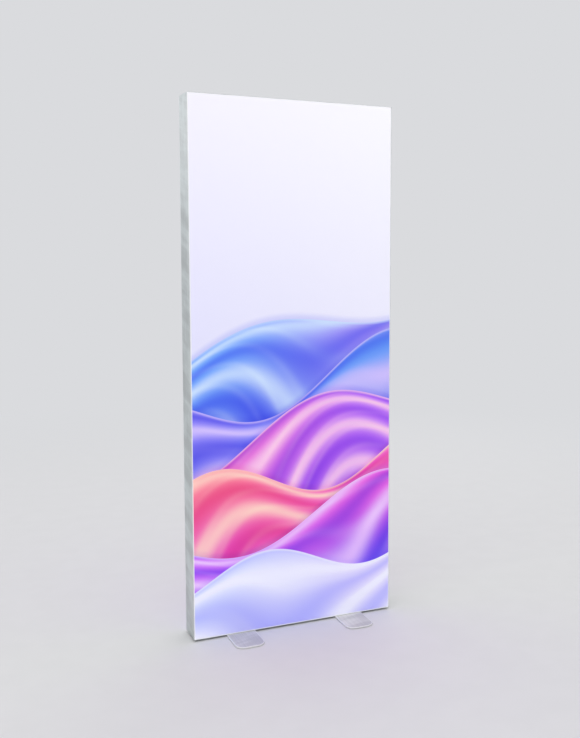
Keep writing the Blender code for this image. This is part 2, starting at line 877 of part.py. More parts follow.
def lead_places():
    """The ends of the three leads, in the whole part's frame."""
    supply_x = half_width - supply_low() - supply_height / 2
    gland_end = supply_cap + gland_height + touch_gap
    lower_z = frame_low + supply_bottom - gland_end
    upper_z = frame_low + supply_bottom + supply_length + gland_end
    plug_x = led_bar_length / 2 - overlap + touch_gap
    plug_t = seat + carrier_base + touch_gap + led_board_thickness + plug_height / 2
    inlet_x = half_width - inlet_body_depth - touch_gap - contact_base - contact_tab - touch_gap
    return {
        "mains_supply": (supply_x, gland_offset, lower_z),
        "mains_inlet": (inlet_x, 0, frame_low + inlet_height + socket_centre),
        "lower_supply": (supply_x, -gland_offset, lower_z),
        "lower_plug": (plug_x, 0, frame_low + plug_t),
        "upper_supply": (supply_x, gland_offset, upper_z),
        "upper_plug": (plug_x, 0, frame_high - plug_t),
    }


def make_mains_lead(places):
    """From the inlet's contacts to the supply's lower cap."""
    inlet = Vector(places["mains_inlet"])
    supply = Vector(places["mains_supply"])
    bend = mains_lead_bend
    route = [
        inlet,
        inlet - Vector((bend, 0, 0)),
        supply - Vector((bend, 0, 2 * bend)),
        supply - Vector((0, 0, bend)),
        supply,
    ]
    make_lead("mains_lead", route, mains_lead_radius, "cable_black")


def make_lower_lead(places):
    """From the supply's lower cap down past the inlet to the bottom LED board."""
    supply = Vector(places["lower_supply"])
    plug = Vector(places["lower_plug"])
    aside = Vector((-2 * gland_radius, -gland_radius, 0))
    bend = led_lead_bend
    route = [
        supply,
        supply - Vector((0, 0, bend)),
        supply + aside - Vector((0, 0, 3 * bend)),
        Vector((plug.x + bend, supply.y + aside.y, plug.z + 2 * bend)),
        plug + Vector((bend, 0, 0)),
        plug,
    ]
    make_lead("led_lead_bottom", route, led_lead_radius, "cable_white")


def make_upper_lead(places):
    """From the supply's upper cap up the upright, beside its slot, to the top LED board."""
    supply = Vector(places["upper_supply"])
    plug = Vector(places["upper_plug"])
    beside_x = half_width - web_inner - led_lead_radius - touch_gap
    beside_y = slot_side + led_lead_radius + touch_gap
    clear_x = half_width - profile_width - 2 * led_lead_radius
    bend = led_lead_bend
    route = [
        supply,
        supply + Vector((0, 0, 2 * bend)),
        Vector((clear_x, beside_y, supply.z + 4 * bend)),
        Vector((beside_x, beside_y, supply.z + 8 * bend)),
        Vector((beside_x, beside_y, plug.z - 10 * bend)),
        Vector((clear_x, beside_y, plug.z - 6 * bend)),
        Vector((plug.x + 2 * bend, beside_y / 2, plug.z - 2 * bend)),
        plug + Vector((bend, 0, 0)),
        plug,
    ]
    make_lead("led_lead_top", route, led_lead_radius, "cable_white")


def make_leads():
    places = lead_places()
    make_mains_lead(places)
    make_lower_lead(places)
    make_upper_lead(places)


def socket_outline():
    """The socket's mouth, y by z, with its two upper corners cut off."""
    half_y = socket_width / 2
    low = socket_centre - socket_height / 2
    high = socket_centre + socket_height / 2
    return [
        (-half_y, low),
        (half_y, low),
        (half_y, high - socket_chamfer),
        (half_y - socket_chamfer, high),
        (socket_chamfer - half_y, high),
        (-half_y, high - socket_chamfer),
    ]


def blade_boxes(front, back, play):
    """The three blades, or the slots that they go through."""
    half_y = blade_thickness / 2 + play
    half_z = blade_height / 2 + play
    places = ((-blade_spacing, -blade_drop), (0, blade_drop), (blade_spacing, -blade_drop))
    return [
        (
            (back, y - half_y, socket_centre + z - half_z),
            (front, y + half_y, socket_centre + z + half_z),
        )
        for y, z in places
    ]


def make_inlet_housing(inlet):
    front = touch_gap + inlet_flange_thickness
    half_flange = (inlet_flange_width / 2, inlet_flange_height / 2)
    outline = rounded_rectangle(*half_flange, inlet_flange_radius, corner_steps // 2)
    bm = prism(outline, touch_gap, front, along="X")
    housing = make_object("inlet_housing", bm, "black_plastic", inlet)
    half_y = inlet_body_width / 2
    half_z = inlet_body_height / 2
    join(housing, boxes(((-inlet_body_depth, -half_y, -half_z), (touch_gap + overlap, half_y, half_z))))
    cut(housing, prism(socket_outline(), front - socket_depth, front + overrun, along="X"))
    slots = blade_boxes(front - socket_depth + overrun, -inlet_body_depth - overrun, touch_gap)
    cut(housing, boxes(*slots))
    cut(housing, rocker_window(front))
    cut(housing, rocker_pin_bores())
    cut(housing, drawer_channel(front))
    cut(housing, inlet_screw_holes(front))


def rocker_window(front):
    half_y = rocker_window_width / 2
    half_z = rocker_window_height / 2
    low = (front - rocker_window_depth, -half_y, rocker_centre - half_z)
    high = (front + overrun, half_y, rocker_centre + half_z)
    return boxes((low, high))


def rocker_axis():
    """The rocker's axis: how far out from the upright's face, and how high above the inlet's middle."""
    return touch_gap + inlet_flange_thickness - rocker_pivot_depth, rocker_centre


def rocker_pin_bores():
    """The two blind bores that the rocker's pins sit in, made in one cut across its window."""
    reach = rocker_width / 2 + rocker_pin_length + touch_gap
    x, z = rocker_axis()
    radius = rocker_pin_radius + touch_gap
    return cylinder(radius, -reach, reach, small_round_sides, (x, 0, z), along_y)


def drawer_channel(front):
    half_y = drawer_width / 2 + touch_gap
    half_z = drawer_height / 2 + touch_gap
    low = (front - drawer_depth - touch_gap, -half_y, drawer_centre - half_z)
    high = (front + overrun, half_y, drawer_centre + half_z)
    return boxes((low, high))


def inlet_screw_holes(front):
    """The flange's two screw holes, each with a sink for the screw's head."""
    radius = inlet_screw_radius + touch_gap
    head_radius = inlet_screw_head_radius + touch_gap
    sink_low = front + inlet_screw_radius - inlet_screw_head_radius - touch_gap
    outline = [(0, -overrun), (radius, -overrun), (radius, sink_low), (head_radius, front)]
    outline += [(head_radius, front + overrun), (0, front + overrun)]
    bm = bmesh.new()
    for side in (-1, 1):
        turned(outline, small_round_sides, (0, 0, side * inlet_screw_pitch / 2), along_x, bm)
    return bm


def make_inlet_contacts(inlet):
    """A block behind the housing, whose three blades reach into the socket."""
    block_front = -inlet_body_depth - touch_gap
    block_back = block_front - contact_base
    half_y = contact_base_width / 2
    low = socket_centre - contact_base_height / 2
    bm = boxes(((block_back, -half_y, low), (block_front, half_y, low + contact_base_height)))
    block = make_object("inlet_contacts", bm, "contact_nickel", inlet)
    blade_front = touch_gap + inlet_flange_thickness - blade_setback
    join(block, boxes(*blade_boxes(blade_front, block_back - contact_tab, 0)))


def make_inlet_screw(name, inlet, side):
    front = touch_gap + inlet_flange_thickness
    depth = inlet_screw_head_radius - inlet_screw_radius
    shape = turned(
        [
            (0, front - inlet_screw_length),
            (inlet_screw_radius, front - inlet_screw_length),
            (inlet_screw_radius, front - depth),
            (inlet_screw_head_radius, front),
            (0, front),
        ],
        small_round_sides,
        turn=along_x,
    )
    location = (0, 0, side * inlet_screw_pitch / 2)
    screw = make_object(f"inlet_screw_{name}", shape, "steel", inlet, location, smooth=True)
    half_key = inlet_screw_key / 2
    arm = inlet_screw_head_radius / 2
    floor = front - inlet_screw_key
    above = front + overrun
    cut(screw, boxes(((floor, -arm, -half_key), (above, arm, half_key))))
    cut(screw, boxes(((floor, -half_key, -arm), (above, half_key, arm))))


def make_rocker(inlet):
    """The rocker at rest in its on position, with its origin on its axis."""
    outline = [
        (rocker_front, -rocker_half_height),
        (rocker_front - rocker_dip, 0),
        (rocker_front, rocker_half_height),
        (0, rocker_half_height),
        (-rocker_back, rocker_half_height / 2),
        (-rocker_back, -rocker_half_height / 2),
        (0, -rocker_half_height),
    ]
    bm = prism(outline, -rocker_width / 2, rocker_width / 2, along="Y")
    x, z = rocker_axis()
    rocker = make_object("power_rocker", bm, "black_plastic", inlet, (x, 0, z), (0, rocker_tilt, 0))
    reach = rocker_width / 2 + rocker_pin_length
    join(rocker, cylinder(rocker_pin_radius, -reach, reach, small_round_sides, turn=along_y))


def make_fuse_drawer(inlet):
    front = touch_gap + inlet_flange_thickness
    half_y = drawer_width / 2
    half_z = drawer_height / 2
    back = front - drawer_depth
    lip_low = front + touch_gap
    lip_high = lip_low + drawer_lip_thickness
    bm = boxes(((back, -half_y, -half_z), (lip_low + overlap, half_y, half_z)))
    drawer = make_object("fuse_drawer", bm, "black_plastic", inlet, (0, 0, drawer_centre))
    lip_y = half_y + drawer_lip_margin
    lip_z = half_z + drawer_lip_margin
    join(drawer, boxes(((lip_low, -lip_y, -lip_z), (lip_high, lip_y, lip_z))))
    trough_y = fuse_length / 2 + touch_gap
    trough_x = fuse_radius + touch_gap
    middle = back + drawer_depth / 2
    floor = -fuse_radius - touch_gap
    trough = ((middle - trough_x, -trough_y, floor), (middle + trough_x, trough_y, half_z + overrun))
    cut(drawer, boxes(trough))
    make_fuse(inlet, middle)


def make_fuse(inlet, middle):
    half = fuse_length / 2
    neck = half - fuse_cap_length
    glass = fuse_radius - fuse_step
    outline = [(0, -half), (fuse_radius, -half), (fuse_radius, -neck), (glass, -neck)]
    outline += [(glass, neck), (fuse_radius, neck), (fuse_radius, half), (0, half)]
    shape = turned(outline, small_round_sides, turn=along_y)
    make_object("fuse", shape, "fuse_glass", inlet, (middle, 0, drawer_centre), smooth=True)


def make_inlet():
    inlet = make_empty("inlet_frame", (half_width, 0, frame_low + inlet_height))
    make_inlet_housing(inlet)
    make_inlet_contacts(inlet)
    make_inlet_screw("upper", inlet, 1)
    make_inlet_screw("lower", inlet, -1)
    make_rocker(inlet)
    make_fuse_drawer(inlet)


def foot_outline(inset):
    half_x = foot_width / 2 - inset
    half_y = foot_length / 2 - inset
    return rounded_rectangle(half_x, half_y, foot_corner_radius - inset, corner_steps)


def bolt_head(play):
    """The countersunk head's underside and top, its radius and the shank's, each with this play added."""
    low = plate_low + touch_gap - play
    high = plate_low + touch_gap + foot_bolt_head_height + play
    return low, high, foot_bolt_head_radius + play, foot_bolt_radius + play


def make_foot_plate(name, pivot):
    """A flat plate with broken upper edges, and a countersunk hole for its bolt."""
    layers = [
        (foot_outline(0), plate_low),
        (foot_outline(0), plate_high - foot_edge),
        (foot_outline(foot_edge), plate_high),
    ]
    plate = make_object(f"foot_plate_{name}", stacked(layers), "foot_steel", pivot)
    _, high, head_radius, radius = bolt_head(touch_gap)
    outline = [(0, plate_low - overrun), (head_radius, plate_low - overrun), (head_radius, plate_low)]
    outline += [(radius, high), (radius, plate_high + overrun), (0, plate_high + overrun)]
    cut(plate, turned(outline, round_sides))


def make_foot_bolt(name, pivot):
    low, high, head_radius, radius = bolt_head(0)
    top = frame_low + outer_wall + touch_gap + anchor_thickness + foot_bolt_end
    outline = [(0, low), (head_radius, low), (radius, high), (radius, top), (0, top)]
    bolt = make_object(f"foot_bolt_{name}", turned(outline, round_sides), "steel", pivot, smooth=True)
    key = regular_polygon(foot_bolt_key_radius, 6)
    cut(bolt, prism(key, low - overrun, low + foot_bolt_key_depth))


def make_foot_anchor(name, pivot):
    """The plate in the bottom rail's chamber that the bolt screws into."""
    low = frame_low + outer_wall + touch_gap
    hole = regular_polygon(foot_bolt_radius + touch_gap, round_sides)
    outline = rectangle(anchor_length / 2, anchor_width / 2)
    bm = prism(outline, low, low + anchor_thickness, holes=[hole])
    make_object(f"foot_anchor_{name}", bm, "steel", pivot)


def make_foot_pads(name, pivot):
    for end, side in (("front", -1), ("rear", 1)):
        place = (0, side * (foot_length / 2 - pad_inset), 0)
        bm = cylinder(pad_radius, 0, pad_thickness)
        make_object(f"foot_pad_{name}_{end}", bm, "rubber", pivot, place, smooth=True)


def make_feet():
    for name, side in (("left", -1), ("right", 1)):
        pivot = make_empty(f"foot_pivot_{name}", (side * foot_spacing / 2, 0, 0))
        make_foot_plate(name, pivot)
        make_foot_bolt(name, pivot)
        make_foot_anchor(name, pivot)
        make_foot_pads(name, pivot)


def make_print(name, side):
    """A print and the beads along its edges. side is -1 at the front and 1 at the rear."""
    surface = side * half_depth
    middle = make_empty(f"{name}_print", (0, surface, frame_low + frame_height / 2))
    half_x = half_width - print_edge
    half_z = frame_height / 2 - print_edge
    back = -side * skirt_depth
    block = boxes(((-half_x, 0, -half_z), (half_x, back, half_z)))
    sheet = make_object(f"{name}_graphic", block, "fabric_print", middle)
    inner_x = half_x - fabric_thickness
    inner_z = half_z - fabric_thickness
    inside = -side * fabric_thickness
    beyond = back - side * overrun
    cut(sheet, boxes(((-inner_x, inside, -inner_z), (inner_x, beyond, inner_z))))
    make_beads(name, side, middle)


def make_beads(name, side, middle):
    """Strips behind the fabric's skirts. The upright strips run past the ends of the level ones."""
    outer_x = half_width - bead_edge
    inner_x = outer_x - bead_thickness
    outer_z = frame_height / 2 - bead_edge
    inner_z = outer_z - bead_thickness
    near = -side * recess
    far = near - side * bead_width
    level_x = inner_x - touch_gap
    strips = {
        "left": ((-outer_x, near, -outer_z), (-inner_x, far, outer_z)),
        "right": ((inner_x, near, -outer_z), (outer_x, far, outer_z)),
        "top": ((-level_x, near, inner_z), (level_x, far, outer_z)),
        "bottom": ((-level_x, near, -outer_z), (level_x, far, -inner_z)),
    }
    for place, corners in strips.items():
        make_object(f"{name}_bead_{place}", boxes(corners), "silicone", middle)


def main():
    clear_scene()
    for name in palette:
        make_material(name)
    members = make_members()
    make_frame(members)
    make_corners()
    make_crossbar(members)
    make_led_bars(members)
    make_power_supply(members)
    make_leads()
    make_inlet()
    make_feet()
    make_print("front", -1)
    make_print("rear", 1)


main()
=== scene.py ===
"""The looks of the illuminated display wall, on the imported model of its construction.

Metres, +Z up. The front print faces -Y. Sizes and places come from the frame's nodes, and the rest are
named here.
"""

import json
import math
from collections import namedtuple

import bmesh
import bpy
from mathutils import Matrix, Vector


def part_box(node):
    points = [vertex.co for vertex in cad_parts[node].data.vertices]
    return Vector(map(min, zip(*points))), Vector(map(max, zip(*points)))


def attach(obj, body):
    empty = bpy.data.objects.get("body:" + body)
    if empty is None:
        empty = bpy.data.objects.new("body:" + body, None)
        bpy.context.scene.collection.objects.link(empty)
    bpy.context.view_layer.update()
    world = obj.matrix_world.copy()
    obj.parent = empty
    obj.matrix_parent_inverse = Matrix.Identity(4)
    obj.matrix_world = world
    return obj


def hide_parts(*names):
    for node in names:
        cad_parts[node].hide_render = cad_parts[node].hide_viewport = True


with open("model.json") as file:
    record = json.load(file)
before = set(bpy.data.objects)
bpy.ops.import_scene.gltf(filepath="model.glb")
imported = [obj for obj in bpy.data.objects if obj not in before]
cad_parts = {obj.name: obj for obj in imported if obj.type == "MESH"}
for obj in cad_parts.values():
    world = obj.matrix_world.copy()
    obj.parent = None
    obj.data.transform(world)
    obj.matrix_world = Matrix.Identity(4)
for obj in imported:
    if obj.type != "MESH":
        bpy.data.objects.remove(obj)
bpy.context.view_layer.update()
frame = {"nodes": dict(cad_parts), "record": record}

mm = 0.001

# Camera, fitted to the corners of the box in the photograph
image_width = 580
image_height = 738
focal_length_px = 978.4
principal_point_px = (400, 340)
camera_place = (-1.2735, -3.5423, 1.4682)
camera_yaw = math.radians(26.24)
camera_pitch = math.radians(5.45)
camera_roll = math.radians(0.39)
sensor_width_mm = 36

# Print fabric
fabric_edge_radius = 1.2 * mm
fabric_thickness = 0.45 * mm
fabric_columns = 40
fabric_rows = 100
fabric_edge_steps = 4
fabric_skirt_steps = 3
pucker_height = 0.25 * mm
pucker_reach = 30 * mm
pucker_pitch = 66 * mm
print_margin = 2.5 * mm
margin_share = 0.85
fabric_roughness = 0.8
fabric_gloss = 0.25
fabric_sheen = 0.25
fabric_sheen_roughness = 0.6
knit_pitch = 0.9 * mm
knit_depth = 0.03 * mm
knit_strength = 0.5
thread_colour = (196, 198, 206)
stitch_rows = (4 * mm, 10 * mm)
stitch_pitch = 3.6 * mm
stitch_thickness = 0.6 * mm
stitch_half_share = (0.36, 0.3)
rim_tolerance = 0.9999

# Silicone beads. A bead past the frame's middle grips the other way round
bead_round = 0.9 * mm
bead_rib_depth = 0.5 * mm
bead_rib_count = 3
bead_corner_steps = 3
frame_middle = (0, 0, 1)

# Metal surfaces. Brush lines are counted per metre, and a range is the part of a noise that is used
profile_colour = (202, 208, 208)
# Painted highlight: a near-white band along the profile's front and rear edges
profile_highlight_colour = (250, 251, 252)
profile_highlight_share = 0.6
brush_lines = 350
brush_stretch = 120
cloud_pitch = 70 * mm
cloud_length = 150 * mm
smear_pitch = 44 * mm
smear_width = 280 * mm
smear_slope = 0.24
cloud_share = 0.35
smear_share = 0.65
patch_range = (0.37, 0.63)
brush_range = (0.35, 0.65)
brush_contrast = 0.06
brush_depth = 0.02 * mm
brush_strength = 0.4
brush_roughness_change = (-0.06, 0.08)
profile_highlight_width = 6 * mm
foot_colour = (213, 213, 209)
# Painted highlight around the foot plate's rim
foot_rim_highlight_colour = (246, 247, 248)
foot_rim_highlight_share = 0.8
foot_corner_radius = 34 * mm
foot_rim_highlight_width = 3.5 * mm

# Moulded, cast, coated and clear surfaces. Grain and smears are counted per metre
common_range = (0.3, 0.7)
grain_ratio = 10
patch_ratio = 1 / 6
grain_depth = 0.05 * mm
grain_strength = 0.5
grain_roughness_change = (-0.04, 0.05)
clear_colour = (236, 242, 245)
clear_roughness = (0.05, 0.16)
clear_smears = 60
clear_transmission = 0.92
clear_index = 1.49

# Edges of the hard pieces
merge_distance = 0.01 * mm
sharp_edge_angle = math.radians(30)
made_smooth_angle = math.radians(40)
rounded_smooth_angle = math.radians(100)
profile_edge_radius = 0.35 * mm
shortest_rounded_edge = 500 * mm
plate_edge_radius = 1.1 * mm
plastic_edge_radius = 0.4 * mm

# LEDs
led_count = 12
led_pitch = 56 * mm
led_board_thickness = 1.6 * mm
led_height = 0.8 * mm
phosphor_radius = 1.9 * mm
phosphor_height = 0.35 * mm
phosphor_taper = 0.8
phosphor_sides = 20
phosphor_colour = (255, 226, 120)
led_colour = (235, 242, 255)
led_glow = 3

# Marks on the rocker
mark_height = 0.15 * mm
mark_stroke = 0.7 * mm
mark_size = 3.4 * mm
ring_sides = 32
rocker_pivot = (0.3993, 0, 0.1596)
rocker_rest_tilt = math.radians(8)
rocker_face_slope = math.radians(14)
rocker_face_centre = (4.7 * mm, 3.2 * mm)

# Light. Lamps are in metres and watts
background_colour = (218, 219, 222)
floor_colour = (226, 226, 228)
world_strength = 0.46
floor_radius = 60
floor_sides = 96
floor_roughness = 0.7
floor_gloss = 0.2
floor_grain = 9
floor_dark_share = 0.985
floor_near_fade = 1.0
floor_far_fade = 5.5
panel_glow = 0.24
panel_fall_off = 0.12
Lamp = namedtuple("Lamp", "name place target size power")
lamps = (
    Lamp("overhead", (0, -0.5, 6.5), (0, -0.2, 0), (14.0, 14.0), 370),
    Lamp("key", (-3.5, -4.5, 3.2), (0, 0, 1), (8.0, 5.0), 76),
    Lamp("rear_left", (-2.4, 5.2, 3.6), (0, 0, 1.2), (3.5, 3.5), 18),
    Lamp("rear_right", (3.2, 4.5, 3.0), (0, 0, 1.2), (4.5, 4.5), 45),
)


def linear(red, green, blue):
    """A colour for a shader from its display values, 0 to 255."""
    channels = []
    for value in (red, green, blue):
        share = value / 255
        channels.append(share / 12.92 if share <= 0.04045 else ((share + 0.055) / 1.055) ** 2.4)
    return (*channels, 1)


class Shading:
    """A new material, with short calls that add nodes to it."""

    def __init__(self, name, roughness, metallic=0.0):
        self.material = bpy.data.materials.new(name)
        self.material.use_nodes = True
        self.tree = self.material.node_tree
        self.shader = self.tree.nodes["Principled BSDF"]
        self.shader.inputs["Roughness"].default_value = roughness
        self.shader.inputs["Metallic"].default_value = metallic
        self.place = self.add("ShaderNodeTexCoord").outputs["Object"]

    def add(self, kind, inputs=None, **settings):
        node = self.tree.nodes.new(kind)
        for name, value in settings.items():
            setattr(node, name, value)
        for name, value in (inputs or {}).items():
            self.feed(node.inputs[name], value)
        return node

    def feed(self, socket, value):
        if isinstance(value, bpy.types.NodeSocket):
            self.tree.links.new(value, socket)
        else:
            socket.default_value = value

    def set(self, name, value):
        self.feed(self.shader.inputs[name], value)

    def math(self, operation, *values, clamp=False):
        node = self.add("ShaderNodeMath", operation=operation, use_clamp=clamp)
        for socket, value in zip(node.inputs, values):
            self.feed(socket, value)
        return node.outputs[0]

    def mix(self, factor, low, high, blend_type="MIX"):
        node = self.add("ShaderNodeMix", data_type="RGBA", blend_type=blend_type)
        for index, value in zip((0, 6, 7), (factor, low, high)):
            self.feed(node.inputs[index], value)
        return node.outputs[2]

    def axes(self):
        return self.add("ShaderNodeSeparateXYZ", {0: self.place}).outputs

    def stretched(self, scale, turn=(0, 0, 0)):
        """The place, turned and then scaled along each axis."""
        shares = tuple(1 / value for value in scale)
        inputs = {"Vector": self.place, "Rotation": turn, "Scale": shares}
        return self.add("ShaderNodeMapping", inputs, vector_type="TEXTURE").outputs[0]

    def noise(self, vector, scale=1.0, detail=2.0, roughness=0.5):
        inputs = {"Vector": vector, "Scale": scale, "Detail": detail, "Roughness": roughness}
        return self.add("ShaderNodeTexNoise", inputs).outputs[0]

    def range(self, value, low, high, to_low=0.0, to_high=1.0, smooth=True):
        kind = "SMOOTHSTEP" if smooth else "LINEAR"
        inputs = {0: value, 1: low, 2: high, 3: to_low, 4: to_high}
        return self.add("ShaderNodeMapRange", inputs, interpolation_type=kind).outputs[0]

    def bump(self, height, distance, strength):
        inputs = {"Height": height, "Distance": distance, "Strength": strength}
        self.set("Normal", self.add("ShaderNodeBump", inputs).outputs[0])


# Print: overlapping silky waves over a pale gradient, in shares of the print's width and height
gradient_top_left = (243, 241, 252)
gradient_top_right = (250, 249, 255)
gradient_low_left = (207, 208, 255)
gradient_low_right = (219, 219, 255)
Wave = namedtuple("Wave", "crest rise swell count phase fade folds turn light left right deep")
waves_from_back = (
    Wave(0.500, 0.130, 0.045, 0.62, 0.08, 0.20, 2.4, 0.30,
         (206, 226, 255), (120, 176, 255), (168, 150, 250), (84, 104, 240)),
    Wave(0.420, 0.100, 0.050, 0.80, 0.46, 0.19, 2.2, 0.05,
         (214, 196, 255), (140, 130, 250), (110, 170, 255), (70, 84, 232)),
    Wave(0.335, 0.100, 0.050, 0.72, 0.80, 0.19, 2.6, 0.60,
         (255, 206, 236), (240, 110, 214), (196, 120, 250), (168, 84, 240)),
    Wave(0.265, 0.060, 0.045, 0.88, 0.16, 0.17, 2.2, 0.85,
         (255, 214, 200), (252, 120, 150), (246, 98, 202), (232, 70, 190)),
    Wave(0.175, 0.070, 0.045, 0.75, 0.55, 0.17, 2.4, 0.20,
         (236, 200, 255), (206, 110, 250), (238, 90, 226), (120, 80, 240)),
    Wave(0.105, 0.035, 0.035, 0.95, 0.92, 0.15, 2.0, 0.45,
         (242, 243, 255), (208, 216, 255), (220, 213, 253), (197, 198, 252)),
)
wave_edge_share = 0.0008
wave_rim_share = 0.006
wave_shadow_share = 0.016
wave_shadow_strength = 0.42
wave_shadow_darkest = 0.4
wave_side_fade = (0.1, 0.9)
wave_depth_fade = 1.1
fold_start = 0.02
fold_spread = 0.45
fold_spread_waves = 0.7
fold_lean = 1.08
fine_fold_ratio = 1.9
fine_fold_lean = -1.3
fold_light = 0.75
fold_sharpness = 3.0
fine_fold_light = 0.15
fine_fold_sharpness = 4.0
fold_dark = 0.6
valley_sharpness = 2.5
rim_light = 0.65


def fold_wave(shading, reach, lean, folds, turn):
    """0 in a fold's valley, 1 on its ridge."""
    cycles = shading.math("MULTIPLY_ADD", reach, folds, shading.math("ADD", lean, turn))
    swing = shading.math("SINE", shading.math("MULTIPLY", cycles, math.tau))
    return shading.math("MULTIPLY_ADD", swing, 0.5, 0.5)


def wave_body(shading, across, below, wave):
    """The colour inside a wave: left to right, darker with depth, with silky folds of changing width."""
    light, left, right, deep = (linear(*colour) for colour in (wave.light, wave.left, wave.right, wave.deep))
    depth = shading.math("MAXIMUM", shading.math("DIVIDE", below, wave.fade), 0.0)
    gather = shading.math("MULTIPLY_ADD", across, fold_spread_waves * math.tau, wave.turn * math.tau)
    gather = shading.math("MULTIPLY_ADD", shading.math("SINE", gather), fold_spread, 1.0)
    reach = shading.math("MULTIPLY", shading.math("SQRT", shading.math("ADD", depth, fold_start)), gather)
    lean = fold_lean * math.sin(math.tau * wave.turn)
    wide = fold_wave(shading, reach, shading.math("MULTIPLY", across, lean), wave.folds, wave.turn)
    slant = shading.math("MULTIPLY", across, lean * fine_fold_lean)
    fine = fold_wave(shading, reach, slant, wave.folds * fine_fold_ratio, wave.turn * 2)
    base = shading.mix(shading.range(across, *wave_side_fade), left, right)
    base = shading.mix(shading.range(depth, 0.0, wave_depth_fade), base, deep)
    ridge = shading.math("MULTIPLY", shading.math("POWER", wide, fold_sharpness), fold_light)
    fine_ridge = shading.math("POWER", fine, fine_fold_sharpness)
    fine_ridge = shading.math("MULTIPLY", fine_ridge, fine_fold_light)
    body = shading.mix(shading.math("ADD", ridge, fine_ridge, clamp=True), base, light)
    valley = shading.math("POWER", shading.math("SUBTRACT", 1.0, wide), valley_sharpness)
    body = shading.mix(shading.math("MULTIPLY", valley, fold_dark), body, deep, "MULTIPLY")
    rim = shading.range(below, 0.0, wave_rim_share, rim_light, 0.0)
    return shading.mix(rim, body, light)


def add_wave(shading, behind, across, height, wave):
    """One wave over what is behind it, with its shadow on that."""
    swing = shading.math("MULTIPLY_ADD", across, wave.count * math.tau, wave.phase * math.tau)
    slope = shading.math("MULTIPLY_ADD", across, wave.rise, wave.crest)
    line = shading.math("MULTIPLY_ADD", shading.math("SINE", swing), wave.swell, slope)
    below = shading.math("SUBTRACT", line, height)
    shadow = shading.range(below, -wave_shadow_share, 0.0, 0.0, wave_shadow_strength)
    lift = 1 - wave_shadow_darkest
    shade = tuple(wave_shadow_darkest + lift * value for value in linear(*wave.deep)[:3]) + (1,)
    behind = shading.mix(shadow, behind, shade, "MULTIPLY")
    body = wave_body(shading, across, below, wave)
    return shading.mix(shading.range(below, -wave_edge_share, wave_edge_share), behind, body)


def print_colour(shading, low, high, side):
    """The print's colour, read from the left by someone who faces it."""
    x, _, z = shading.axes()
    left, right = (low.x, high.x) if side < 0 else (high.x, low.x)
    across = shading.range(x, left, right, smooth=False)
    height = shading.range(z, low.z, high.z, smooth=False)
    top = shading.mix(across, linear(*gradient_top_left), linear(*gradient_top_right))
    bottom = shading.mix(across, linear(*gradient_low_left), linear(*gradient_low_right))
    colour = shading.mix(height, bottom, top)
    for wave in waves_from_back:
        colour = add_wave(shading, colour, across, height, wave)
    colour = shading.mix(edge_margin(shading, x, z, low, high), colour, linear(255, 255, 255))
    return shading.mix(stitches(shading, low, high, side), colour, linear(*thread_colour))


def stitches(shading, low, high, side):
    """1 on the two rows of stitches that hold the bead to the fabric's turned edge, 0 off them."""
    x, y, z = shading.axes()
    surface = low.y if side < 0 else high.y
    depth = shading.math("ABSOLUTE", shading.math("SUBTRACT", y, surface))
    rows = 0.0
    for row in stitch_rows:
        away = shading.math("ABSOLUTE", shading.math("SUBTRACT", depth, row))
        rows = shading.math("MAXIMUM", rows, shading.range(away, stitch_thickness, stitch_thickness / 2))
    beside = shading.math("SUBTRACT", high.x, shading.math("ABSOLUTE", x))
    upright = shading.math("LESS_THAN", beside, fabric_edge_radius)
    run = shading.mix(upright, x, z)
    step = shading.math("FRACT", shading.math("DIVIDE", run, stitch_pitch))
    from_middle = shading.math("ABSOLUTE", shading.math("SUBTRACT", step, 0.5))
    dash = shading.range(from_middle, *stitch_half_share)
    return shading.math("MULTIPLY", rows, dash)


def edge_margin(shading, x, z, low, high):
    """1 in the unprinted margin along the print's edges, 0 inside it."""
    beside = shading.math("SUBTRACT", high.x, shading.math("ABSOLUTE", x))
    middle = (low.z + high.z) / 2
    level = shading.math("ABSOLUTE", shading.math("SUBTRACT", z, middle))
    above = shading.math("SUBTRACT", high.z - middle, level)
    nearest = shading.math("MINIMUM", beside, above)
    return shading.range(nearest, print_margin, print_margin / 2, 0.0, margin_share)


def print_fabric(name, low, high, side):
    """Backlit polyester knit: the print, a fine knit and the LED bars' light behind it."""
    shading = Shading(name, fabric_roughness)
    colour = print_colour(shading, low, high, side)
    shading.set("Base Color", colour)
    x, _, z = shading.axes()
    middle = (low.z + high.z) / 2
    level = shading.math("ABSOLUTE", shading.math("SUBTRACT", z, middle))
    far_from_leds = shading.range(level, high.z - middle, 0.0, 0.0, panel_fall_off)
    shading.set("Emission Color", shading.mix(far_from_leds, colour, (0, 0, 0, 1)))
    shading.set("Emission Strength", panel_glow)
    shading.set("Specular IOR Level", fabric_gloss)
    shading.set("Sheen Weight", fabric_sheen)
    shading.set("Sheen Roughness", fabric_sheen_roughness)
    wales = shading.math("SINE", shading.math("MULTIPLY", x, math.tau / knit_pitch))
    courses = shading.math("SINE", shading.math("MULTIPLY", z, math.tau / knit_pitch))
    shading.bump(shading.math("MULTIPLY", wales, courses), knit_depth, knit_strength)
    return shading.material


def along_axis(along, value, others):
    """One value for each axis: its own for the axis given, and one for the two others."""
    values = [others, others, others]
    values[along] = value
    return values


